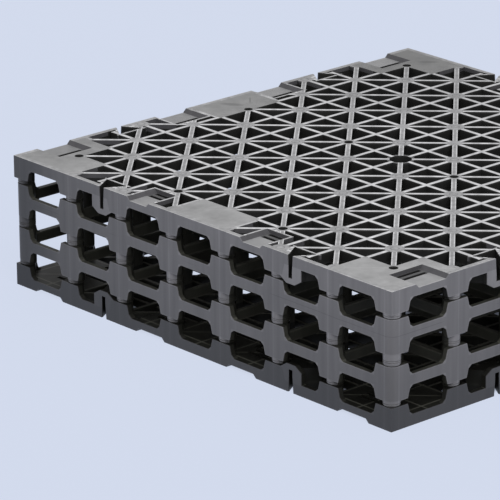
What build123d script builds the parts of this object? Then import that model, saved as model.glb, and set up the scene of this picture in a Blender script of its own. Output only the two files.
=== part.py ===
from build123d import *
import os

os.makedirs("parts", exist_ok=True)

# Water retention crate: four polypropylene mouldings stacked into one open block.
# Millimetres, Z up, the crate stands on Z = 0 and is centred on X = Y = 0.

# Plan sizes
side = 600.0
lattice_pitch = 41.5
lattice_cells = 14
post_every = 2
rib_width = 5.6
smallest_opening = 60.0
middle_plate_width = 96.0
tray_corner_radius = 3.0

# Heights of the pieces
skirt_depth = 12.0
rail_height = 11.5
wing_height = 13.0
short_tip = 6.0
long_tip = 13.0

# Side walls and posts
wall = 6.0
wing_root_width = 34.0
wing_end_width = 27.0
window_corner = 3.5
post_width = 15.8
post_sides = 8
inner_post_width = 13.4
inner_post_sides = 4
inner_rail_width = 4.0

# Centre ring and screw holes
centre_bore = 24.7
centre_ring = 31.0
screw_bore = 10.0

# Clip pockets at the quarter points of each side
clip_offset = 150.0
clip_mouth = 5.5
clip_back = 33.0
clip_length = 21.5
clip_wall = 2.5
clip_depth = 25.0
clip_floor = 2.5
slit_top = 8.0
slit_foot = 4.5
tab_width = 32.0
tab_foot = 12.5
tab_height = 31.0

# Hand recesses in the rims
recess_depth = 4.2
recess_length = 39.0
recess_border = 2.5
recess_slot = 5.0
recess_slot_margin = 2.0
recess_slot_places = [27.0, 36.0]
wide_recess = 38.0
wide_recess_places = [-243.5, -73.0, 73.0, 243.5]
narrow_recess = 27.0
narrow_recess_places = [-90.0, 90.0]

# Levels, from the floor up
half = side / 2
edge_margin = (side - lattice_cells * lattice_pitch) / 2
bottom_joint = skirt_depth + wing_height
lower_rail = bottom_joint + short_tip + wing_height
middle_joint = lower_rail + rail_height + wing_height
upper_rail = middle_joint + long_tip + wing_height
top_joint = upper_rail + rail_height + wing_height
height = top_joint + short_tip + wing_height + skirt_depth


def line(index):
    """Place of a lattice line along X or Y."""
    return -half + edge_margin + index * lattice_pitch


post_lines = range(0, lattice_cells + 1, post_every)
inner_lines = range(1, lattice_cells)
edge_lines = (0, lattice_cells)


def on_side(turn, shape):
    """Turn a shape drawn at the side Y = -half to one of the four sides."""
    return Rot(0, 0, 90 * turn) * shape


def edge_plate(start, end):
    """Closed plate along the side Y = -half, one cell deep."""
    depth = line(1) + half
    return Pos((start + end) / 2, -half + depth / 2) * Rectangle(end - start, depth)


def recesses(turn):
    """Place and floor width of each hand recess on a side: wide and narrow by turns."""
    if turn % 2 == 0:
        return [(place, wide_recess) for place in wide_recess_places]
    return [(place, narrow_recess) for place in narrow_recess_places]


def dovetail(mouth, back, length):
    """Plan of a clip pocket that opens at the side and widens inward."""
    corners = [(-mouth / 2, 0), (mouth / 2, 0), (back / 2, length), (-back / 2, length)]
    return make_face(Polyline(*corners, close=True))


def lattice_ribs(straight_lines):
    """Straight ribs on the given lines and diagonal ribs through every other crossing."""
    span = lattice_cells * lattice_pitch
    diagonal = span * 2 ** 0.5
    ribs = []
    for index in straight_lines:
        ribs.append(Pos(line(index), 0) * Rectangle(rib_width, span))
        ribs.append(Pos(0, line(index)) * Rectangle(span, rib_width))
    for step in range(2 - lattice_cells, lattice_cells, 2):
        shift = step * lattice_pitch / 2
        length = diagonal - abs(step) * lattice_pitch * 2 ** 0.5
        ribs.append(Pos(shift, -shift) * Rot(0, 0, 45) * Rectangle(length, rib_width))
        ribs.append(Pos(shift, shift) * Rot(0, 0, -45) * Rectangle(length, rib_width))
    return ribs


def solid_patches():
    """Closed plates at the corners and at the middle of each side."""
    patches = []
    for turn in range(4):
        patches.append(on_side(turn, edge_plate(-half, line(2))))
        patches.append(on_side(turn, edge_plate(-middle_plate_width / 2, middle_plate_width / 2)))
        patches.append(on_side(turn, edge_plate(line(lattice_cells - 2), half)))
    return patches


def post_outline(width, sides):
    return RegularPolygon(width / 2, sides, major_radius=False, rotation=180 / sides)


def tray_plan(straight_lines, screw_lines):
    """Plan of a tray with its lattice open between the ribs."""
    outer = Rectangle(side, side)
    outer = fillet(outer.vertices(), tray_corner_radius)
    field = Rectangle(side - 2 * wall, side - 2 * wall)
    kept = lattice_ribs(straight_lines) + solid_patches()
    kept.append(Circle(centre_ring / 2))
    for turn in range(4):
        for place, width in recesses(turn):
            pad_width = width + 2 * (recess_depth + recess_border)
            pad_length = recess_length + recess_border
            pad = Pos(place, -half + pad_length / 2) * Rectangle(pad_width, pad_length)
            kept.append(on_side(turn, pad))
        for place in (-clip_offset, clip_offset):
            block = Pos(place, -half) * clip_block()
            kept.append(on_side(turn, block))
        for index in post_lines:
            post = Pos(line(index), line(0)) * post_outline(post_width, post_sides)
            kept.append(on_side(turn, post))
    openings = [face for face in (field - kept).faces() if face.area > smallest_opening]
    openings.append(Circle(centre_bore / 2))
    for ix in screw_lines[0]:
        for iy in screw_lines[1]:
            openings.append(Pos(line(ix), line(iy)) * Circle(screw_bore / 2))
    for turn in range(4):
        for place, width in recesses(turn):
            for depth in recess_slot_places:
                slot = Rectangle(width - 2 * recess_slot_margin, recess_slot)
                openings.append(on_side(turn, Pos(place, depth - half) * slot))
    return outer - openings


def clip_block():
    """Outer plan of a clip pocket with its walls."""
    slope = (clip_back - clip_mouth) / 2 / clip_length
    side_wall = clip_wall * (1 + slope ** 2) ** 0.5
    length = clip_length + clip_wall
    mouth = clip_mouth + 2 * side_wall
    return dovetail(mouth, mouth + 2 * slope * length, length)


def wing(direction):
    """Outline of a post's flat wing, drawn from the rail edge at Y = 0."""
    root = wing_root_width / 2
    end = wing_end_width / 2
    slant = (root - end) / wing_height
    corners = [
        (-root - window_corner, 0),
        (-root + slant * window_corner, direction * window_corner),
        (-end, direction * wing_height),
        (end, direction * wing_height),
        (root - slant * window_corner, direction * window_corner),
        (root + window_corner, 0),
    ]
    return make_face(Polyline(*corners, close=True))


def clip_tab():
    """Tab that carries the clip slit below a tray's skirt, drawn from the top edge down."""
    half_tab = tab_width / 2
    half_foot = tab_foot / 2
    corners = [
        (-half_tab, 0),
        (half_tab, 0),
        (half_tab, -clip_depth),
        (half_foot, -tab_height),
        (-half_foot, -tab_height),
        (-half_tab, -clip_depth),
    ]
    return make_face(Polyline(*corners, close=True))


def side_wall(outline, bottom):
    """Give a side outline, drawn in X and height, the thickness of the wall."""
    plane = Plane(origin=(0, -half, bottom), x_dir=(1, 0, 0), z_dir=(0, -1, 0))
    return extrude(plane * outline, -wall)


def posts(bottom, length):
    """All posts of one layer: round ones along the sides, square ones inside."""
    solids = []
    for ix in post_lines:
        for iy in post_lines:
            at_edge = ix in edge_lines or iy in edge_lines
            width = post_width if at_edge else inner_post_width
            sides = post_sides if at_edge else inner_post_sides
            outline = Pos(line(ix), line(iy), bottom) * post_outline(width, sides)
            solids.append(extrude(outline, length))
    return solids


def tray(tip, straight_lines, screw_lines):
    """A tray in its top position: lattice up, wings, posts and tips hanging down."""
    top = skirt_depth + wing_height + tip
    skirt_bottom = top - skirt_depth
    body = extrude(Pos(0, 0, skirt_bottom) * tray_plan(straight_lines, screw_lines), skirt_depth)
    wings = Sketch() + [Pos(line(index), 0) * wing(-1) for index in post_lines]
    tabs = Sketch() + [Pos(x, skirt_depth) * clip_tab() for x in (-clip_offset, clip_offset)]
    outline = wings + tabs + Pos(0, skirt_depth / 2) * Rectangle(side, skirt_depth)
    outline = outline & Pos(0, -top) * Rectangle(side, 4 * top)
    extras = posts(0, wing_height + tip)
    cuts = []
    for turn in range(4):
        extras.append(on_side(turn, side_wall(outline, skirt_bottom)))
        for place in (-clip_offset, clip_offset):
            block = Pos(place, -half, top - clip_depth - clip_floor) * clip_block()
            extras.append(on_side(turn, extrude(block, clip_depth + clip_floor)))
            pocket = Pos(place, -half, top - clip_depth)
            pocket = pocket * dovetail(clip_mouth, clip_back, clip_length)
            cuts.append(on_side(turn, extrude(pocket, clip_depth)))
            cuts.append(on_side(turn, clip_slit(place, top)))
        for place, width in recesses(turn):
            cuts.append(on_side(turn, recess(place, width, top)))
    return (body + extras) - cuts


def clip_slit(place, top):
    """The slit of a clip pocket in the side wall, wider at the top."""
    corners = [
        (-slit_foot / 2, -clip_depth),
        (slit_foot / 2, -clip_depth),
        (slit_top / 2, 0),
        (-slit_top / 2, 0),
    ]
    plane = Plane(origin=(place, -half, top), x_dir=(1, 0, 0), z_dir=(0, -1, 0))
    return extrude(plane * make_face(Polyline(*corners, close=True)), -wall)


def recess(place, width, top):
    """A shallow hand recess, open at the side, with sloped ends."""
    low = width / 2
    high = low + recess_depth
    corners = [(-low, -recess_depth), (low, -recess_depth), (high, 0), (-high, 0)]
    plane = Plane(origin=(place, -half, top), x_dir=(1, 0, 0), z_dir=(0, -1, 0))
    return extrude(plane * make_face(Polyline(*corners, close=True)), -recess_length)


def frame(tip):
    """A middle frame: a rail grid with posts up to the joint and down to the tips."""
    rail_bottom = tip + wing_height
    outer = Rectangle(side, side)
    outer = fillet(outer.vertices(), edge_margin)
    field = Rectangle(side - 2 * wall, side - 2 * wall)
    kept = []
    span = lattice_cells * lattice_pitch
    for index in post_lines:
        if index not in edge_lines:
            kept.append(Pos(line(index), 0) * Rectangle(inner_rail_width, span))
            kept.append(Pos(0, line(index)) * Rectangle(span, inner_rail_width))
    plan = outer - (field - kept)
    body = extrude(Pos(0, 0, rail_bottom) * plan, rail_height)
    wings = Sketch() + [Pos(line(index), 0) * wing(-1) for index in post_lines]
    wings += [Pos(line(index), rail_height) * wing(1) for index in post_lines]
    outline = wings + Pos(0, rail_height / 2) * Rectangle(side, rail_height)
    total = rail_bottom + rail_height + wing_height
    extras = posts(0, total)
    for turn in range(4):
        extras.append(on_side(turn, side_wall(outline, rail_bottom)))
    body = body + extras
    return body & extrude(outer, total)


def turned_over(shape):
    """Turn a tray over about a diagonal so that its lattice faces the floor."""
    return Rot(0, 0, 90) * Rot(180, 0, 0) * shape


top_tray = Pos(0, 0, top_joint) * tray(short_tip, inner_lines, [(1, 7, 13), (1, 5, 9, 13)])
upper_frame = Pos(0, 0, middle_joint) * frame(long_tip)
lower_frame = Pos(0, 0, bottom_joint) * frame(short_tip)
bottom_tray = Pos(0, 0, bottom_joint) * turned_over(tray(0.0, post_lines[1:-1], [(), ()]))

pieces = {
    "top_tray": top_tray,
    "upper_frame": upper_frame,
    "lower_frame": lower_frame,
    "bottom_tray": bottom_tray,
}
for name, piece in pieces.items():
    export_step(piece, "parts/" + name + ".step")
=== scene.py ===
from collections import namedtuple
import math

import bmesh
import bpy
from mathutils import Matrix, Vector


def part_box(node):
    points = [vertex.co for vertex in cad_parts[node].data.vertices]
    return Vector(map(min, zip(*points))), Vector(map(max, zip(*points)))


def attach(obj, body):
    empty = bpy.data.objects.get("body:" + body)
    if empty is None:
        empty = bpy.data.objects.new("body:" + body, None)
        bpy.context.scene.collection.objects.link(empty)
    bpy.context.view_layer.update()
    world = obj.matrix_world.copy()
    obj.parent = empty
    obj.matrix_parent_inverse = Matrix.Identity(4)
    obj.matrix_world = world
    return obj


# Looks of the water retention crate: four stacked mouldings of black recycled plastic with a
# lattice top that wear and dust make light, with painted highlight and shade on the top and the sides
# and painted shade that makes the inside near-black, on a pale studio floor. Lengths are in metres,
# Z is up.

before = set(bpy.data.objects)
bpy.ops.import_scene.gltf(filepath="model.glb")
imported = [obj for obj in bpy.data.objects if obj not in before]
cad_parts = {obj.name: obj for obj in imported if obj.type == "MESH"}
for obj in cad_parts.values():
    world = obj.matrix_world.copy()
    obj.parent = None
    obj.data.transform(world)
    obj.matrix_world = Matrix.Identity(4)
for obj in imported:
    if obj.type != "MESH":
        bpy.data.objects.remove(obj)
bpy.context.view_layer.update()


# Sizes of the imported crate

top_low, top_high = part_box("top_tray")
upper_low, upper_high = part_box("upper_frame")
lower_low, lower_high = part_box("lower_frame")
base_low, base_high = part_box("bottom_tray")

SIDE = top_high.x - top_low.x
HEIGHT = top_high.z
HALF = SIDE / 2
PITCH = 0.0415
CELLS = 14
EDGE_MARGIN = (SIDE - CELLS * PITCH) / 2
RIB_WIDTH = 0.0056
WING_HEIGHT = 0.013
WING_ROOT = 0.017
WING_SLANT = 0.0035 / 0.013
RAIL_HEIGHT = 0.0115
SKIRT_DEPTH = 0.012
SHORT_TIP = 0.006
LONG_TIP = 0.013
CLIP_OFFSET = 0.15

# Nodes between the posts that have a hole, and so no small plate
BORED_NODES = [(7, 5), (7, 7), (7, 9)]

# Heights between which each moulding's rail or skirt runs
upper_rail_foot = upper_low.z + LONG_TIP + WING_HEIGHT
lower_rail_foot = lower_low.z + SHORT_TIP + WING_HEIGHT
SKIRT_TOP = (HEIGHT - SKIRT_DEPTH, HEIGHT)
UPPER_RAIL = (upper_rail_foot, upper_rail_foot + RAIL_HEIGHT)
LOWER_RAIL = (lower_rail_foot, lower_rail_foot + RAIL_HEIGHT)
SKIRT_FOOT = (base_low.z, base_low.z + SKIRT_DEPTH)
NO_RAIL = (-0.1, -0.09)

# Sizes of the pieces that are made here; a profile is steps in from the radius and up
POST_RADIUS = 0.0093
POST_STEPS = 32
FOOT_PROFILE = [(0.0017, 0.0001), (0.0006, 0.0006), (0.0001, 0.0015)]
RING_PROFILE = [(0.0, -0.0005), (0.0004, -0.0001), (0.0004, 0.0001), (0.0, 0.0005)]
SHORT_TIP_RINGS = [0.0030]
LONG_TIP_RINGS = [0.0040, 0.0058]
POST_TOP_GAP = 0.0001
PLATE_RADIUS = 0.0108
EDGE_PLATE_RADIUS = 0.0092
SMALL_PLATE_RADIUS = 0.0082
PLATE_SEGMENTS = 32
SMALL_PLATE_SEGMENTS = 24
PLATE_DEPTH = 0.002
PLATE_DROP = 0.0011
SMALL_PLATE_DROP = 0.0012
BASE_RIB_DEPTH = 0.008
BASE_RIB_CELLS = 12
BASE_RIB_GAP = 0.0002
SMOOTH_ANGLE = 40
POST_SMOOTH_ANGLE = 30


def line(index):
    """Place of a lattice line along X or Y."""
    return -HALF + EDGE_MARGIN + index * PITCH


# Values and masks in shaders; each value is a number or an output socket

def calc(tree, operation, first, second=None, third=None):
    """One math node."""
    node = tree.nodes.new("ShaderNodeMath")
    node.operation = operation
    for place, value in enumerate((first, second, third)):
        if isinstance(value, (int, float)):
            node.inputs[place].default_value = value
        elif value is not None:
            tree.links.new(value, node.inputs[place])
    return node.outputs[0]


def plus(tree, first, second):
    return calc(tree, "ADD", first, second)


def minus(tree, first, second):
    return calc(tree, "SUBTRACT", first, second)


def times(tree, first, second):
    return calc(tree, "MULTIPLY", first, second)


def least(tree, first, second):
    return calc(tree, "MINIMUM", first, second)


def most(tree, first, second):
    return calc(tree, "MAXIMUM", first, second)


def size_of(tree, value):
    return calc(tree, "ABSOLUTE", value)


def length(tree, across, along):
    """Length of a plane vector."""
    return calc(tree, "SQRT", plus(tree, times(tree, across, across), times(tree, along, along)))


def shade(tree, mask, amount, base=1.0):
    """The base where the mask is 0, and the amount more where it is 1."""
    return calc(tree, "MULTIPLY_ADD", mask, amount, base)


def ramp(tree, value, limits):
    """0 below the first limit, 1 above the second one, smooth between."""
    node = tree.nodes.new("ShaderNodeMapRange")
    node.interpolation_type = "SMOOTHSTEP"
    tree.links.new(value, node.inputs["Value"])
    node.inputs["From Min"].default_value = limits[0]
    node.inputs["From Max"].default_value = limits[1]
    return node.outputs["Result"]


def fade(tree, value, limits):
    """1 below the first limit, 0 above the second one, smooth between."""
    return minus(tree, 1.0, ramp(tree, value, limits))


def line_at(tree, value, middle, limits):
    """1 near the middle value and 0 from the second limit away from it."""
    return fade(tree, size_of(tree, minus(tree, value, middle)), limits)


def mix_colour(tree, factor, first, second):
    """The first colour where the factor is 0, the second where it is 1."""
    node = tree.nodes.new("ShaderNodeMix")
    node.data_type = "RGBA"
    for socket, value in ((node.inputs[0], factor), (node.inputs[6], first), (node.inputs[7], second)):
        if isinstance(value, (int, float, tuple)):
            socket.default_value = value
        else:
            tree.links.new(value, socket)
    return node.outputs[2]


def scaled(tree, colour, gain):
    """A colour made lighter or darker."""
    node = tree.nodes.new("ShaderNodeVectorMath")
    node.operation = "SCALE"
    if isinstance(colour, tuple):
        node.inputs[0].default_value = colour[:3]
    else:
        tree.links.new(colour, node.inputs[0])
    tree.links.new(gain, node.inputs["Scale"])
    return node.outputs[0]


Place = namedtuple("Place", "x y z vector")


def place_of(tree):
    """Object coordinates, one by one and as a vector."""
    vector = tree.nodes.new("ShaderNodeTexCoord").outputs["Object"]
    split = tree.nodes.new("ShaderNodeSeparateXYZ")
    tree.links.new(vector, split.inputs[0])
    return Place(split.outputs["X"], split.outputs["Y"], split.outputs["Z"], vector)


def reach_of(tree, place):
    """Distances from the middle of the plan: the larger of X and Y, and the smaller."""
    across = size_of(tree, place.x)
    along = size_of(tree, place.y)
    return most(tree, across, along), least(tree, across, along)


def off_post(tree, place, pitch):
    """Signed distance along a side from the nearest post line."""
    along = reach_of(tree, place)[1]
    return calc(tree, "WRAP", minus(tree, along, pitch), pitch, times(tree, pitch, -1.0))


def noise(tree, vector, scale, detail=2.0, stretch=None):
    """Cloudy value from 0 to 1, stretched where the vector is scaled down."""
    if stretch:
        mapping = tree.nodes.new("ShaderNodeMapping")
        mapping.inputs["Scale"].default_value = stretch
        tree.links.new(vector, mapping.inputs["Vector"])
        vector = mapping.outputs["Vector"]
    node = tree.nodes.new("ShaderNodeTexNoise")
    node.inputs["Scale"].default_value = scale
    node.inputs["Detail"].default_value = detail
    tree.links.new(vector, node.inputs["Vector"])
    return node.outputs["Fac"]


# Shader groups

SOCKET_KINDS = {"Colour": "NodeSocketColor", "Clean": "NodeSocketColor",
                "Dusty": "NodeSocketColor", "Normal": "NodeSocketVector"}


def add_socket(group, label, direction):
    kind = SOCKET_KINDS.get(label, "NodeSocketFloat")
    return group.interface.new_socket(label, in_out=direction, socket_type=kind)


def new_group(name, inputs):
    """A shader group with an input for each named default, and those inputs' sockets."""
    group = bpy.data.node_groups.new(name, "ShaderNodeTree")
    for label, default in inputs.items():
        add_socket(group, label, "INPUT").default_value = default
    return group, group.nodes.new("NodeGroupInput").outputs


def close_group(group, results):
    """Give the group an output for each named result."""
    for label in results:
        add_socket(group, label, "OUTPUT")
    output = group.nodes.new("NodeGroupOutput")
    for label, value in results.items():
        group.links.new(value, output.inputs[label])
    return group


def use_group(tree, group, **values):
    """A group's node in a tree, with some of its inputs set."""
    node = tree.nodes.new("ShaderNodeGroup")
    node.node_tree = group
    for label, value in values.items():
        node.inputs[label].default_value = value
    return node


SKIN_DEPTH = 0.00085
SKIN_BLUR = (-0.00035, 0.00035)


def outer_skin_group():
    """Mask of the surface within a given depth of the crate's four sides, round corners included."""
    group, given = new_group("outer skin", {
        "Half Side": HALF, "Corner Radius": EDGE_MARGIN, "Depth": SKIN_DEPTH})
    place = place_of(group)
    core = minus(group, given["Half Side"], given["Corner Radius"])
    past_x = minus(group, size_of(group, place.x), core)
    past_y = minus(group, size_of(group, place.y), core)
    reach = length(group, most(group, past_x, 0.0), most(group, past_y, 0.0))
    inner = least(group, most(group, past_x, past_y), 0.0)
    depth = minus(group, given["Corner Radius"], plus(group, reach, inner))
    over = minus(group, depth, given["Depth"])
    return close_group(group, {"Mask": fade(group, over, SKIN_BLUR)})


EDGE_HIGHLIGHT_BAND = (0.0002, 0.0011)
FLANGE = (0.0010, 0.0020)


def moulding_edges_group():
    """Painted highlight along the edges of the wings and rails on the side faces, and the rails'
    flanges inside.
    """
    group, given = new_group("moulding edges", {"Low": 0.0, "High": 0.01, "Pitch": PITCH})
    place = place_of(group)
    off = size_of(group, off_post(group, place, given["Pitch"]))
    above = minus(group, place.z, given["Low"])
    below = minus(group, given["High"], place.z)
    in_rail = least(group, above, below)
    past_rail = times(group, in_rail, -1.0)
    half_width = shade(group, past_rail, -WING_SLANT, WING_ROOT)
    in_wing = least(group, minus(group, half_width, off), minus(group, WING_HEIGHT, past_rail))
    return close_group(group, {
        "Edge": fade(group, most(group, in_rail, in_wing), EDGE_HIGHLIGHT_BAND),
        "Flange": fade(group, size_of(group, in_rail), FLANGE)})


# Limits across a rib, as shares of its half width
RIB_STRIP = (0.55, 0.95)
WHOLE_RIB = (0.95, 1.0)
OFF_RIB = (1.0, 1.2)
DULL_RIB_EDGE = (0.4, 0.75)
THIN_LINE = (0.15, 0.5)
GHOST_LINE = (0.2, 0.6)

# Limits around a node of the lattice
NODE_DISC = (0.0103, 0.0110)
SMALL_DISC_CUT = 0.0026
NODE_RING_RADIUS = 0.0044
NODE_RING = (0.0003, 0.0011)
POST_MARK_RADIUS = 0.0098
POST_MARK = (0.0003, 0.0010)

# Limits from the middle of the plan outward, and along a side
DULL_START = (0.0, 0.0015)
BAND_START = (6 * PITCH - 0.0034, 6 * PITCH - 0.0030)
PAD_START = (6 * PITCH + 0.0030, 6 * PITCH + 0.0036)
RECESS_BACK_END = (HALF - 0.0255, HALF - 0.0240)
RIM_START = (HALF - 0.0062, HALF - 0.0054)
OUTER_EDGE_START = (HALF - 0.0018, HALF - 0.0010)
MIDDLE_PLATE_END = (PITCH + 0.0032, PITCH + 0.0036)
CORNER_PLATE_START = (5 * PITCH - 0.0036, 5 * PITCH - 0.0032)


def lattice_group():
    """Masks of the top: rib centres, dull diagonals, round node plates and closed plates."""
    group, given = new_group("lattice zones", {"Pitch": PITCH, "Half Rib": RIB_WIDTH / 2})
    place = place_of(group)
    pitch = given["Pitch"]
    half_pitch = times(group, pitch, 0.5)
    low_half = times(group, pitch, -0.5)
    low_pitch = times(group, pitch, -1.0)

    def straight(value):
        """Distance from the nearest lattice line."""
        return size_of(group, calc(group, "WRAP", value, half_pitch, low_half))

    def every_other(value):
        """Distance from the nearest of every other lattice line."""
        return size_of(group, calc(group, "WRAP", value, pitch, low_pitch))

    # Ribs: the rising diagonals are dull and the straight and falling ones bright, as painted shade
    # and highlight
    falling = times(group, every_other(plus(group, place.x, place.y)), math.sqrt(0.5))
    rising = times(group, every_other(minus(group, place.y, place.x)), math.sqrt(0.5))
    bright = least(group, least(group, straight(place.x), straight(place.y)), falling)
    share = calc(group, "DIVIDE", least(group, bright, rising), given["Half Rib"])
    dull = ramp(group, minus(group, bright, rising), DULL_START)
    strip = fade(group, share, RIB_STRIP)
    whole = fade(group, share, WHOLE_RIB)

    # Nodes: discs over the posts, smaller ones between them, and marks that show in closed plates
    post_x = every_other(minus(group, place.x, pitch))
    post_y = every_other(minus(group, place.y, pitch))
    at_post = length(group, post_x, post_y)
    at_gap = length(group, every_other(place.x), every_other(place.y))
    disc = least(group, at_post, plus(group, at_gap, SMALL_DISC_CUT))
    rib_mark = fade(group, calc(group, "DIVIDE", falling, given["Half Rib"]), GHOST_LINE)
    post_mark = line_at(group, at_post, POST_MARK_RADIUS, POST_MARK)

    # Rim, pads and closed plates
    outer, along = reach_of(group, place)
    rim = ramp(group, outer, RIM_START)
    band = ramp(group, outer, BAND_START)
    middle = fade(group, along, MIDDLE_PLATE_END)
    corner = ramp(group, along, CORNER_PLATE_START)
    inside_rim = times(group, band, minus(group, 1.0, rim))
    return close_group(group, {
        "Rib": most(group, strip, times(group, dull, whole)),
        "Rib Edge": times(group, dull, ramp(group, share, DULL_RIB_EDGE)),
        "Dull Diagonal": dull,
        "Node Plate": fade(group, disc, NODE_DISC),
        "Node Ring": line_at(group, at_post, NODE_RING_RADIUS, NODE_RING),
        "Rim": rim,
        "Pad": times(group, ramp(group, outer, PAD_START), ramp(group, share, OFF_RIB)),
        "Plate": times(group, inside_rim, most(group, middle, corner)),
        "Ghost": most(group, rib_mark, post_mark),
        "Outer Edge": ramp(group, outer, OUTER_EDGE_START),
        "Recess Back": fade(group, outer, RECESS_BACK_END),
        "Thin Line": fade(group, share, THIN_LINE)})


BAND_SHIFT = 0.001
LIGHT_BAND = (0.0003, 0.0016)
LIGHT_BAND_GAIN = 0.42
DARK_BAND_PLACE = 0.0075
DARK_BAND = (0.0003, 0.0035)
DARK_BAND_GAIN = -0.09
BAND_BREAKUP_SCALE = 60.0
BAND_BREAKUP_STRETCH = (1.0, 1.0, 0.35)


def post_bands_group():
    """Painted highlight and shade in faint upright bands over the posts on the side faces."""
    group, given = new_group("post bands", {"Pitch": PITCH})
    place = place_of(group)
    off = size_of(group, plus(group, off_post(group, place, given["Pitch"]), BAND_SHIFT))
    band_breakup = noise(group, place.vector, BAND_BREAKUP_SCALE, 2.0, BAND_BREAKUP_STRETCH)
    # Painted highlight beside each post line, broken up by noise, and painted shade a little further
    # out
    light = times(group, fade(group, off, LIGHT_BAND), times(group, band_breakup, LIGHT_BAND_GAIN))
    dark = times(group, line_at(group, off, DARK_BAND_PLACE, DARK_BAND), DARK_BAND_GAIN)
    return close_group(group, {"Gain": plus(group, plus(group, light, dark), 1.0)})


CLOUD_SCALE = 11.0
STREAK_SCALE = 120.0
STREAK_STRETCH = (1.0, 1.0, 0.08)
GRAIN_SCALE = 900.0
GRAIN_DISTANCE = 0.0004
ROUGHNESS_SWING = 0.12


def moulded_skin_group():
    """Cloudy colour, flow streaks and fine grain of recycled moulded plastic."""
    group, given = new_group("moulded skin", {
        "Colour": (0.1, 0.1, 0.1, 1), "Cloudiness": 0.45, "Grain Height": 0.1, "Roughness": 0.42})
    vector = place_of(group).vector
    clouds = noise(group, vector, CLOUD_SCALE, 4.0)
    streaks = noise(group, vector, STREAK_SCALE, 2.0, STREAK_STRETCH)
    swing = minus(group, plus(group, clouds, streaks), 1.0)
    gain = shade(group, swing, given["Cloudiness"])
    bump = group.nodes.new("ShaderNodeBump")
    bump.inputs["Distance"].default_value = GRAIN_DISTANCE
    group.links.new(given["Grain Height"], bump.inputs["Strength"])
    group.links.new(noise(group, vector, GRAIN_SCALE), bump.inputs["Height"])
    return close_group(group, {
        "Colour": scaled(group, given["Colour"], gain),
        "Roughness": shade(group, swing, ROUGHNESS_SWING, given["Roughness"]),
        "Normal": bump.outputs["Normal"]})


UPWARD_NORMAL = (0.75, 0.95)


def upward_group():
    """Mask of faces that look up."""
    group = new_group("upward faces", {})[0]
    geometry = group.nodes.new("ShaderNodeNewGeometry")
    split = group.nodes.new("ShaderNodeSeparateXYZ")
    group.links.new(geometry.outputs["Normal"], split.inputs[0])
    return close_group(group, {"Mask": ramp(group, split.outputs["Z"], UPWARD_NORMAL)})


LEFT_LEAN = 0.2
LEFT_START = (0.08, 0.26)
LEFT_START_SHADE = -0.28
LEFT_REST = (0.26, 0.345)
LEFT_REST_SHADE = -0.42
FLOOR_LEVEL_GAIN = 0.68
EDGE_HIGHLIGHT_GAIN = 0.35


def side_shading_group():
    """Painted shade on the side faces, darker toward the left end and the floor, and lighter with the
    edges' painted highlight.
    """
    group, given = new_group("side shading", {"Bands": 1.0, "Edge": 0.0})
    place = place_of(group)
    toward_left = minus(group, place.y, times(group, place.x, LEFT_LEAN))
    # Painted shade toward the left end
    left_start = shade(group, ramp(group, toward_left, LEFT_START), LEFT_START_SHADE)
    left_end = shade(group, ramp(group, toward_left, LEFT_REST), LEFT_REST_SHADE, left_start)
    # Painted highlight along the edges of the wings and rails
    edge = shade(group, given["Edge"], EDGE_HIGHLIGHT_GAIN)
    # Painted shade toward the floor
    level = shade(group, place.z, (1 - FLOOR_LEVEL_GAIN) / HEIGHT, FLOOR_LEVEL_GAIN)
    gain = times(group, times(group, given["Bands"], times(group, left_end, edge)), level)
    return close_group(group, {"Toward Left": toward_left, "Left End": left_end, "Gain": gain})


DUST_SCALE = 45.0
DUST = (0.25, 0.75)
LEDGE_SHADE = -0.4


def inner_shade_light_dust_group():
    """Near-black painted shade inside, painted light in dust-like patches on the flanges and ledges,
    and painted shade that darkens the ledges.
    """
    group, given = new_group("inner painted light, shade and dust", {
        "Clean": (0.02, 0.02, 0.02, 1), "Dusty": (0.04, 0.04, 0.04, 1),
        "Flange": 0.0, "Upward": 0.0, "Lift": 0.0})
    dusty = ramp(group, noise(group, place_of(group).vector, DUST_SCALE, 3.0), DUST)
    ledge = times(group, given["Upward"], given["Lift"])
    # Painted light, in dust-like patches, on the flanges and ledges
    lit = times(group, most(group, ledge, given["Flange"]), dusty)
    depths = mix_colour(group, lit, given["Clean"], given["Dusty"])
    # Painted shade on the ledges
    gain = shade(group, given["Upward"], LEDGE_SHADE)
    return close_group(group, {"Colour": scaled(group, depths, gain)})


OUTER_SKIN = outer_skin_group()
LATTICE = lattice_group()
SKIN = moulded_skin_group()
UPWARD = upward_group()
POST_BANDS = post_bands_group()
MOULDING_EDGES = moulding_edges_group()
SIDE_SHADING = side_shading_group()
INNER_SHADE_LIGHT_DUST = inner_shade_light_dust_group()


# Colours

TRAY_BLUE = 0.97
FRAME_BLUE = 0.84


def grey(value, cool=1.01):
    """The nearly neutral grey of the top, which wear, dust and painted highlight make light."""
    return (value, value, value * cool, 1)


def skin_grey(value):
    """The faintly violet grey of the side faces."""
    return (value, value * 0.985, value * 1.05, 1)


def warm_grey(value, blue=FRAME_BLUE):
    """The warm near-black of the inside's painted shade, and its lighter tones."""
    return (value, value, value * blue, 1)


# Dark lines on the side faces: painted shade in the posts' ring grooves, and a mould seam

SHARP_LINE = (0.0002, 0.0007)
SHARP_LINE_SHADE = -0.4
SEAM_LINE = (0.0001, 0.0006)
SEAM_WANDER = 0.0016
SEAM_WANDER_SCALE = 30.0
SEAM_KEPT = (0.42, 0.5)
SEAM_KEPT_SCALE = 14.0
SEAM_SHADE = -0.3


def with_sharp_lines(tree, place, gain, heights):
    """Brightness with a thin dark line of painted shade at each height."""
    for height in heights:
        mark = line_at(tree, place.z, height, SHARP_LINE)
        gain = times(tree, gain, shade(tree, mark, SHARP_LINE_SHADE))
    return gain


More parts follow.
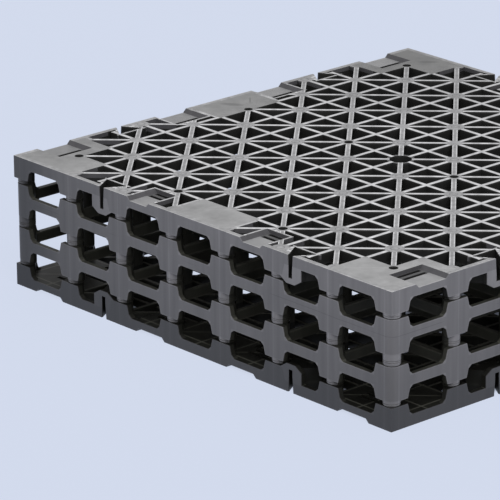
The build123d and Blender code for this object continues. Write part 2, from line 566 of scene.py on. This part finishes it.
def with_seam(tree, place, gain, height):
    """Brightness with a mould seam that wanders and is broken in places."""
    wander = shade(tree, noise(tree, place.vector, SEAM_WANDER_SCALE), SEAM_WANDER, place.z)
    mark = line_at(tree, wander, height, SEAM_LINE)
    kept = ramp(tree, noise(tree, place.vector, SEAM_KEPT_SCALE), SEAM_KEPT)
    return times(tree, gain, shade(tree, times(tree, mark, kept), SEAM_SHADE))


# Painted highlight lines along the tops of the base tray's ribs

BASE_RIB_TOP = (SKIRT_DEPTH + 0.0005, SKIRT_DEPTH + 0.0010)


def with_base_ribs(tree, place, upward, depths, tone):
    """Inner colour with painted highlight lines along the tops of the base tray's ribs."""
    thin = use_group(tree, LATTICE).outputs["Thin Line"]
    low = fade(tree, place.z, BASE_RIB_TOP)
    mask = times(tree, times(tree, thin, low), upward)
    return mix_colour(tree, mask, depths, warm_grey(tone))


# Painted shade of shallow dents, and a dark scratch, on the far-left plates: middle, half length,
# half width, turn and darkness

DENTS = [((-0.002, 0.276), 0.015, 0.0055, -1.0, 0.4),
         ((0.277, 0.242), 0.013, 0.005, -0.75, 0.35),
         ((0.0245, 0.2738), 0.0115, 0.0011, 0.84, 0.4)]
DENT_EDGE = (0.2, 1.4)


def dent_gain(tree, place, middle, half_length, half_width, turn, darkness):
    """Brightness of a soft-edged dark ellipse."""
    right = minus(tree, place.x, middle[0])
    back = minus(tree, place.y, middle[1])
    cos, sin = math.cos(turn), math.sin(turn)
    along = plus(tree, times(tree, right, cos), times(tree, back, sin))
    across = minus(tree, times(tree, back, cos), times(tree, right, sin))
    along_share = calc(tree, "POWER", calc(tree, "DIVIDE", along, half_length), 2.0)
    across_share = calc(tree, "POWER", calc(tree, "DIVIDE", across, half_width), 2.0)
    clear = ramp(tree, plus(tree, along_share, across_share), DENT_EDGE)
    return shade(tree, clear, darkness, 1.0 - darkness)


# Top: bright ribs, duller diagonals, node plates, rim, closed plates and hand recesses

WEAR_SCALE = 170.0
WEAR_GAIN = (1.1, 0.45)
MOTTLE_SCALE = 38.0
MOTTLE_GAIN = (0.8, 0.6)
RING_TONE = 0.62
FAR_RIBS = (0.1, 0.5)
FAR_RIBS_SHADE = -0.2
FAR_PLATES = (-0.25, 0.7)
LEFT_CORNER = (0.27, 0.36)
LEFT_CORNER_SHADE = -0.3
GHOST_GAIN = 0.11
OUTER_EDGE_GAIN = 0.3
RECESS_EDGE_GAIN = 0.35
RECESS_LEFT_SHARE = 0.35
RECESS_FLOOR = (HEIGHT - 0.002, HEIGHT - 0.001)
RECESS_WALL = (HEIGHT - 0.0052, HEIGHT - 0.0044)
RECESS_BAND = (HALF - 0.0415, HALF - 0.0395)
OFF_POCKET = (0.019, 0.021)
LID_LEVEL = (HEIGHT - 0.008, HEIGHT - 0.006)


def rib_colour(tree, place, zones, tones, far):
    """Ribs with painted highlight along their middles, random wear on them, and painted shade at their
    edges, node plates, pads around the recesses, and the rim, darker toward the far side as painted
    shade.
    """
    rib = grey(tones["rib"])
    bright = mix_colour(tree, zones["Dull Diagonal"], rib, grey(tones["diagonal"]))
    bright = mix_colour(tree, zones["Rib Edge"], bright, rib)
    ribs = mix_colour(tree, zones["Rib"], grey(tones["edge"]), bright)
    nodes = mix_colour(tree, zones["Node Ring"], grey(tones["node"]), grey(tones["node"] * RING_TONE))
    ribs = mix_colour(tree, zones["Node Plate"], ribs, nodes)
    ribs = mix_colour(tree, zones["Pad"], ribs, grey(tones["pad"]))
    ribs = mix_colour(tree, zones["Rim"], ribs, grey(tones["rim"]))
    ribs = scaled(tree, ribs, shade(tree, noise(tree, place.vector, WEAR_SCALE, 3.0), *WEAR_GAIN))
    # Painted shade toward the far side
    return scaled(tree, ribs, shade(tree, ramp(tree, far, FAR_RIBS), FAR_RIBS_SHADE))


def plate_colour(tree, place, zones, tones, far, toward_left):
    """Closed plates with mottle, painted shade toward the far side, the left corner and in dents, and
    ribs and posts that show faintly through them.
    """
    near_tone, far_tone = grey(tones["plate"], 1.0), grey(tones["far plate"], 0.98)
    # Painted shade: the plates turn darker toward the far side
    plates = mix_colour(tree, ramp(tree, far, FAR_PLATES), near_tone, far_tone)
    mottle = shade(tree, noise(tree, place.vector, MOTTLE_SCALE, 5.0), *MOTTLE_GAIN)
    # Painted shade toward the left corner
    corner = shade(tree, ramp(tree, toward_left, LEFT_CORNER), LEFT_CORNER_SHADE)
    marks = shade(tree, zones["Ghost"], GHOST_GAIN)
    for dent in DENTS:
        marks = times(tree, marks, dent_gain(tree, place, *dent))
    return scaled(tree, plates, times(tree, mottle, times(tree, corner, marks)))


def recess_colour(tree, zones, tones, left_end):
    """Floors of the hand recesses, with painted shade at the back where the slots are and toward the
    left end, and a painted highlight along the outer edge.
    """
    back = grey(tones["recess back"])
    floor_tone = mix_colour(tree, zones["Recess Back"], grey(tones["recess"]), back)
    left = shade(tree, left_end, RECESS_LEFT_SHARE, 1 - RECESS_LEFT_SHARE)
    edge = shade(tree, zones["Outer Edge"], RECESS_EDGE_GAIN)
    return scaled(tree, floor_tone, times(tree, left, edge))


def lid_colour(tree, place, tones, left_end, toward_left):
    """Colour of all that looks up at the top."""
    zones = use_group(tree, LATTICE).outputs
    far = plus(tree, place.x, place.y)
    ribs = rib_colour(tree, place, zones, tones, far)
    plates = plate_colour(tree, place, zones, tones, far, toward_left)
    lid = mix_colour(tree, zones["Plate"], ribs, plates)
    # Painted highlight along the top's outer edge
    lid = scaled(tree, lid, shade(tree, zones["Outer Edge"], OUTER_EDGE_GAIN))
    recess = recess_colour(tree, zones, tones, left_end)
    return mix_colour(tree, ramp(tree, place.z, RECESS_FLOOR), recess, lid)


def recess_wall_mask(tree, place, skin):
    """Walls near the top of the edge band, but not in the clip pockets or on the side faces."""
    outer, along = reach_of(tree, place)
    high = times(tree, ramp(tree, place.z, RECESS_WALL), minus(tree, 1.0, skin))
    off_pocket = ramp(tree, size_of(tree, minus(tree, along, CLIP_OFFSET)), OFF_POCKET)
    return times(tree, high, times(tree, ramp(tree, outer, RECESS_BAND), off_pocket))


# Plastic of the mouldings

LIT_DUST_GAIN = 2.0
LEDGE_LIFT = 0.45
SPECULAR = 0.18
GLOSS = 0.64
GLOSS_ROUGHNESS = 0.42
PLASTIC_IOR = 1.49


def plastic(name, inside, outside, rail, tones=None, skin_depth=SKIN_DEPTH, lift=LEDGE_LIFT,
            seam=None, lines=(), base_rib_tone=None):
    """Black moulded plastic, greyer on its outer sides, with painted shade that makes it near-black
    inside.

    inside and outside are tones, inside that of the painted shade, and rail is the heights between
    which the moulding's rail runs. tones holds those of a lattice top, skin_depth is how deep the
    outer tone reaches before the painted shade, and lift how much painted light and dust the inner
    ledges get. seam and lines are heights of dark lines on the sides: a mould seam and lines of
    painted shade. base_rib_tone is for painted highlight lines along the ribs of a lattice that lies
    on the floor.
    """
    material = bpy.data.materials.new(name)
    material.use_nodes = True
    tree = material.node_tree
    shader = tree.nodes["Principled BSDF"].inputs
    place = place_of(tree)
    edges = use_group(tree, MOULDING_EDGES, Low=rail[0], High=rail[1]).outputs
    upward = use_group(tree, UPWARD).outputs["Mask"]
    side = use_group(tree, SIDE_SHADING)
    tree.links.new(use_group(tree, POST_BANDS).outputs["Gain"], side.inputs["Bands"])
    tree.links.new(edges["Edge"], side.inputs["Edge"])
    gain = with_sharp_lines(tree, place, side.outputs["Gain"], lines)
    if seam:
        gain = with_seam(tree, place, gain, seam)

    blue = TRAY_BLUE if tones else FRAME_BLUE
    dust = use_group(tree, INNER_SHADE_LIGHT_DUST, Clean=warm_grey(inside, blue),
                     Dusty=warm_grey(inside * LIT_DUST_GAIN, blue), Lift=lift)
    tree.links.new(edges["Flange"], dust.inputs["Flange"])
    tree.links.new(upward, dust.inputs["Upward"])
    depths = dust.outputs["Colour"]
    if base_rib_tone:
        depths = with_base_ribs(tree, place, upward, depths, base_rib_tone)

    # Grey outside tone within the outer skin; deeper in, the inside's painted shade
    gloss = use_group(tree, OUTER_SKIN, Depth=skin_depth).outputs["Mask"]
    colour = mix_colour(tree, gloss, depths, scaled(tree, skin_grey(outside), gain))
    if tones:
        walls = recess_wall_mask(tree, place, gloss)
        colour = mix_colour(tree, walls, colour, skin_grey(tones["recess wall"]))
        # The top's light tones come from wear and dust, and from painted highlight and shade
        on_lid = times(tree, upward, ramp(tree, place.z, LID_LEVEL))
        lid = lid_colour(tree, place, tones, side.outputs["Left End"], side.outputs["Toward Left"])
        colour = mix_colour(tree, on_lid, colour, lid)
        gloss = most(tree, gloss, on_lid)

    skin = use_group(tree, SKIN)
    tree.links.new(colour, skin.inputs["Colour"])
    tree.links.new(skin.outputs["Colour"], shader["Base Color"])
    tree.links.new(skin.outputs["Roughness"], shader["Roughness"])
    tree.links.new(skin.outputs["Normal"], shader["Normal"])
    tree.links.new(times(tree, gloss, GLOSS), shader["Coat Weight"])
    shader["Coat Roughness"].default_value = GLOSS_ROUGHNESS
    shader["Specular IOR Level"].default_value = SPECULAR
    shader["IOR"].default_value = PLASTIC_IOR
    return material


# Tones of the top: wear and dust make it light, and painted highlight and shade are set here too, in
# the bright ribs, dark rib edges, dull diagonals, dark far plates and dark recess backs
TOP_TONES = {"rib": 0.66, "diagonal": 0.31, "edge": 0.09, "node": 0.34, "rim": 0.33, "pad": 0.5,
             "recess": 0.3, "recess back": 0.1, "recess wall": 0.085, "plate": 0.335,
             "far plate": 0.145}
SEAM_HEIGHT = UPPER_RAIL[0] + RAIL_HEIGHT * 0.6
# Heights of the lines of painted shade in the posts' ring grooves
RING_HEIGHTS = [upper_low.z + at for at in LONG_TIP_RINGS]
RING_HEIGHTS += [low.z + at for low in (lower_low, top_low) for at in SHORT_TIP_RINGS]
# How far round the posts their grey reaches; beyond it their sides are painted shade
TIP_SKIN_DEPTH = 0.005

TOP_PLASTIC = plastic("tray plastic", inside=0.022, outside=0.165, rail=SKIRT_TOP, tones=TOP_TONES)
UPPER_PLASTIC = plastic("upper frame plastic", inside=0.036, outside=0.155, rail=UPPER_RAIL,
                        seam=SEAM_HEIGHT)
LOWER_PLASTIC = plastic("lower frame plastic", inside=0.036, outside=0.155, rail=LOWER_RAIL)
BASE_PLASTIC = plastic("base tray plastic", inside=0.013, outside=0.057, rail=SKIRT_FOOT, lift=0.0,
                       base_rib_tone=0.07)
TIP_PLASTIC = plastic("post plastic", inside=0.026, outside=0.16, rail=NO_RAIL,
                      skin_depth=TIP_SKIN_DEPTH, lines=RING_HEIGHTS)

for node_name, material in (("top_tray", TOP_PLASTIC), ("upper_frame", UPPER_PLASTIC),
                            ("lower_frame", LOWER_PLASTIC), ("bottom_tray", BASE_PLASTIC)):
    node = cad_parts[node_name]
    node.data.materials.clear()
    node.data.materials.append(material)


# Pieces made here

def finish_mesh(name, bm, material, smooth_angle=SMOOTH_ANGLE):
    """Turn a bmesh into a piece of the crate with its material."""
    bmesh.ops.recalc_face_normals(bm, faces=bm.faces)
    mesh = bpy.data.meshes.new(name)
    bm.to_mesh(mesh)
    bm.free()
    piece = bpy.data.objects.new(name, mesh)
    bpy.context.scene.collection.objects.link(piece)
    mesh.materials.append(material)
    for face in mesh.polygons:
        face.use_smooth = True
    mesh.set_sharp_from_angle(angle=math.radians(smooth_angle))
    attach(piece, "root")


def round_posts(name, bottom, top, rings):
    """Round skins of the posts along the sides, with a rounded foot and the ring steps near it."""
    profile = [(POST_RADIUS - inset, bottom + rise) for inset, rise in FOOT_PROFILE]
    for ring in rings:
        profile += [(POST_RADIUS - inset, bottom + ring + rise) for inset, rise in RING_PROFILE]
    profile.append((POST_RADIUS, top))
    places = set()
    for index in range(0, CELLS + 1, 2):
        for edge in (0, CELLS):
            places |= {(index, edge), (edge, index)}
    bm = bmesh.new()
    for ix, iy in sorted(places):
        x, y = line(ix), line(iy)
        verts = [bm.verts.new((x + radius, y, z)) for radius, z in profile]
        edges = [bm.edges.new(pair) for pair in zip(verts, verts[1:])]
        bmesh.ops.spin(bm, geom=verts + edges, cent=(x, y, 0), axis=(0, 0, 1),
                       angle=math.tau, steps=POST_STEPS, use_merge=True)
    finish_mesh(name, bm, TIP_PLASTIC, POST_SMOOTH_ANGLE)


def add_disc(bm, ix, iy, radius, drop, segments):
    """A low disc at a node of the lattice, its middle that far under the top."""
    place = Matrix.Translation((line(ix), line(iy), HEIGHT - drop))
    bmesh.ops.create_cone(bm, cap_ends=True, segments=segments, radius1=radius,
                          radius2=radius, depth=PLATE_DEPTH, matrix=place)


def node_plates():
    """Round plates over the posts, and smaller ones at the nodes between them."""
    bm = bmesh.new()
    for ix in range(0, CELLS + 1, 2):
        for iy in range(0, CELLS + 1, 2):
            at_edge = ix in (0, CELLS) or iy in (0, CELLS)
            radius = EDGE_PLATE_RADIUS if at_edge else PLATE_RADIUS
            add_disc(bm, ix, iy, radius, PLATE_DROP, PLATE_SEGMENTS)
    for ix in range(3, CELLS - 2, 2):
        for iy in range(3, CELLS - 2, 2):
            if (ix, iy) not in BORED_NODES:
                add_disc(bm, ix, iy, SMALL_PLATE_RADIUS, SMALL_PLATE_DROP, SMALL_PLATE_SEGMENTS)
    finish_mesh("lattice_node_plates", bm, TOP_PLASTIC)


def base_ribs():
    """Straight ribs of the base tray between its post lines."""
    bm = bmesh.new()
    middle = BASE_RIB_GAP + BASE_RIB_DEPTH / 2
    size = Matrix.Diagonal((BASE_RIB_CELLS * PITCH, RIB_WIDTH, BASE_RIB_DEPTH, 1))
    for index in range(1, CELLS, 2):
        for turn in (0.0, math.pi / 2):
            place = Matrix.Translation((0, line(index), middle))
            bmesh.ops.create_cube(bm, size=1, matrix=Matrix.Rotation(turn, 4, "Z") @ place @ size)
    finish_mesh("base_straight_ribs", bm, BASE_PLASTIC)


round_posts("top_tray_posts", top_low.z, HEIGHT - SKIRT_DEPTH, SHORT_TIP_RINGS)
round_posts("upper_frame_posts", upper_low.z, upper_high.z - POST_TOP_GAP,
            LONG_TIP_RINGS)
round_posts("lower_frame_posts", lower_low.z, lower_high.z - POST_TOP_GAP,
            SHORT_TIP_RINGS)
node_plates()
base_ribs()


# Studio: floor, light and camera

FLOOR_SIZE = 12
FLOOR_COLOUR = (0.651, 0.708, 0.847, 1)
FLOOR_ROUGHNESS = 0.9
FLOOR_BOUNCE = (0.36, 0.36, 0.37, 1)
FLOOR_GLOW = 0.92
CRATE_EDGE = (HALF - 0.02, HALF - 0.004)
LEFT_HALF = (-0.02, 0.06)
OFF_LEFT_SIDE = (-0.22, -0.17)
FAR_END = (0.2, 0.25)
SKY_COLOUR = (0.98, 0.98, 1.0, 1)
SKY_STRENGTH = 0.55
SUN_TRAVEL = (0.55, 0.8, -1.0)
SUN_STRENGTH = 1.8
SUN_ANGLE = 50
CAMERA_LENS = 292.66
CAMERA_SENSOR = 36
CAMERA_PLACE = (-2.92531, -3.03780, 1.53375)
CAMERA_TURN = (1.231455, 0.007497, -0.730015)
CAMERA_CLIP = 100


def mix_shader(tree, factor, first, second):
    node = tree.nodes.new("ShaderNodeMixShader")
    for socket, value in zip(node.inputs, (factor, first, second)):
        tree.links.new(value, socket)
    return node.outputs[0]


def floor_material():
    """Pale floor with a faint shadow, which throws less light back than the camera sees."""
    material = bpy.data.materials.new("pale floor")
    material.use_nodes = True
    tree = material.node_tree
    lit = tree.nodes["Principled BSDF"]
    lit.inputs["Base Color"].default_value = FLOOR_COLOUR
    lit.inputs["Roughness"].default_value = FLOOR_ROUGHNESS
    lit.inputs["Specular IOR Level"].default_value = 0.0
    glow = tree.nodes.new("ShaderNodeEmission")
    glow.inputs["Color"].default_value = FLOOR_COLOUR
    bounce = tree.nodes.new("ShaderNodeBsdfDiffuse")
    bounce.inputs["Color"].default_value = FLOOR_BOUNCE

    # The floor glows evenly around the crate, and also where it shows through the windows at the
    # left end. Elsewhere under the crate it is lit as it is.
    place = place_of(tree)
    around = ramp(tree, reach_of(tree, place)[0], CRATE_EDGE)
    left = ramp(tree, minus(tree, place.y, place.x), LEFT_HALF)
    off_side = most(tree, ramp(tree, place.x, OFF_LEFT_SIDE), ramp(tree, place.y, FAR_END))
    even = times(tree, most(tree, around, times(tree, left, off_side)), FLOOR_GLOW)
    seen = mix_shader(tree, even, lit.outputs[0], glow.outputs[0])

    rays = tree.nodes.new("ShaderNodeLightPath").outputs
    indirect = most(tree, rays["Is Glossy Ray"], rays["Is Transmission Ray"])
    direct = most(tree, rays["Is Camera Ray"], indirect)
    surface = mix_shader(tree, direct, bounce.outputs[0], seen)
    tree.links.new(surface, tree.nodes["Material Output"].inputs["Surface"])
    return material


def floor():
    """Level ground that fills the view."""
    mesh = bpy.data.meshes.new("floor")
    bm = bmesh.new()
    bmesh.ops.create_grid(bm, x_segments=1, y_segments=1, size=FLOOR_SIZE)
    bm.to_mesh(mesh)
    bm.free()
    plane = bpy.data.objects.new("floor", mesh)
    bpy.context.scene.collection.objects.link(plane)
    mesh.materials.append(floor_material())


def sky():
    world = bpy.data.worlds.new("studio")
    world.use_nodes = True
    background = world.node_tree.nodes["Background"].inputs
    background["Color"].default_value = SKY_COLOUR
    background["Strength"].default_value = SKY_STRENGTH
    bpy.context.scene.world = world


def sun():
    light = bpy.data.lights.new("key", "SUN")
    light.energy = SUN_STRENGTH
    light.angle = math.radians(SUN_ANGLE)
    lamp = bpy.data.objects.new("key", light)
    lamp.rotation_euler = Vector(SUN_TRAVEL).to_track_quat("-Z", "Y").to_euler()
    bpy.context.scene.collection.objects.link(lamp)


def camera():
    """Camera at the photograph's place, fitted to the crate's lattice crossings."""
    lens = bpy.data.cameras.new("camera")
    lens.lens = CAMERA_LENS
    lens.sensor_width = CAMERA_SENSOR
    lens.clip_end = CAMERA_CLIP
    viewer = bpy.data.objects.new("camera", lens)
    viewer.location = CAMERA_PLACE
    viewer.rotation_euler = CAMERA_TURN
    bpy.context.scene.collection.objects.link(viewer)
    bpy.context.scene.camera = viewer


floor()
sky()
sun()
camera()

bpy.context.scene.view_settings.view_transform = "Standard"
